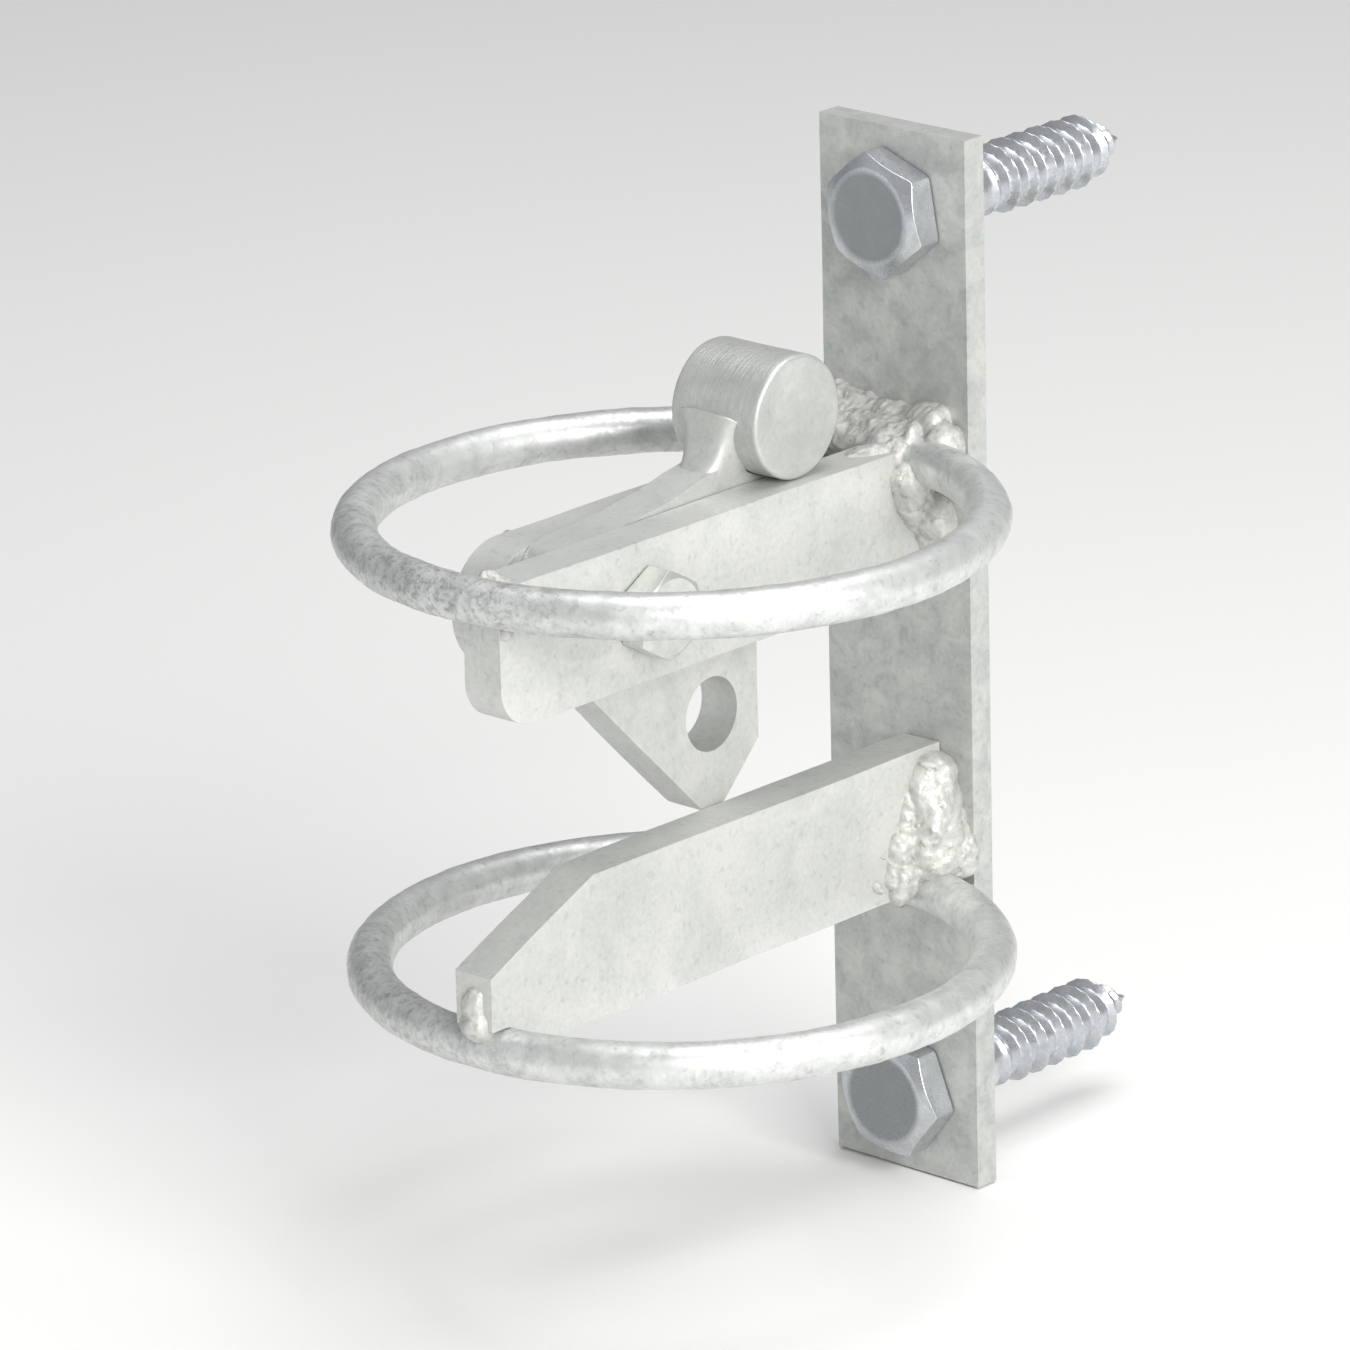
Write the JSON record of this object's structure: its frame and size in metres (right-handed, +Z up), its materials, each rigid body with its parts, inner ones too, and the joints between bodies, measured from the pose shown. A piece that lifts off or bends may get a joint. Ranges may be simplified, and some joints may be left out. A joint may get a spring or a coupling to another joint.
{
  "type": "automatic gravity gate latch",
  "caption": "Galvanised gravity gate latch: upright screw-on plate, guard rings above and below, arms for a tubular rail, and a weighted drop pawl with a padlock hole.",
  "frame": {"origin": "centre of the back plate's rear face, where it lies on the post", "axes": "+X to the right seen from the front, the front of the latch faces -Y, +Y into the post, +Z up along the back plate"},
  "size_m": [0.14, 0.216, 0.232],
  "materials": {
    "galvanised_plate": "hot-dip galvanised flat bar, matt pale grey, mottled",
    "galvanised_rod": "hot-dip galvanised round bar, satin, with darker dross patches",
    "galvanised_pawl": "hot-dip galvanised plate, satin pale grey",
    "weight_steel": "galvanised round bar end, faint drawn lines",
    "weld_zinc": "rough bright zinc over weld metal",
    "zinc_fastener": "blue-grey zinc plated",
    "nylon": "plain nylon"
  },
  "bodies": {
    "frame": {"back_plate": "galvanised_plate", "upper_arm": "galvanised_plate", "side_cheek": "galvanised_plate", "lower_arm": "galvanised_plate", "upper_ring": "galvanised_rod", "lower_ring": "galvanised_rod", "upper_ring_weld": "weld_zinc", "lower_ring_weld": "weld_zinc", "upper_arm_weld": "weld_zinc", "side_cheek_weld": "weld_zinc", "lower_arm_right_weld": "weld_zinc", "lower_arm_left_weld": "weld_zinc", "upper_front_weld": "weld_zinc", "lower_front_weld": "weld_zinc", "upper_coach_screw": "zinc_fastener", "lower_coach_screw": "zinc_fastener", "pivot_bolt": "zinc_fastener", "pivot_washer": "zinc_fastener", "pivot_lock_nut": "zinc_fastener", "lock_nut_insert": "nylon"},
    "pawl": {"pawl_plate": "galvanised_pawl", "pawl_weight": "weight_steel", "weight_weld": "weld_zinc"}
  },
  "joints": [
    {"name": "pawl_pivot", "type": "hinge", "parent": "frame", "child": "pawl", "pos_m": [0, -0.0955, 0.035], "axis": [1, 0, 0], "range_deg": [0, 115]}
  ]
}
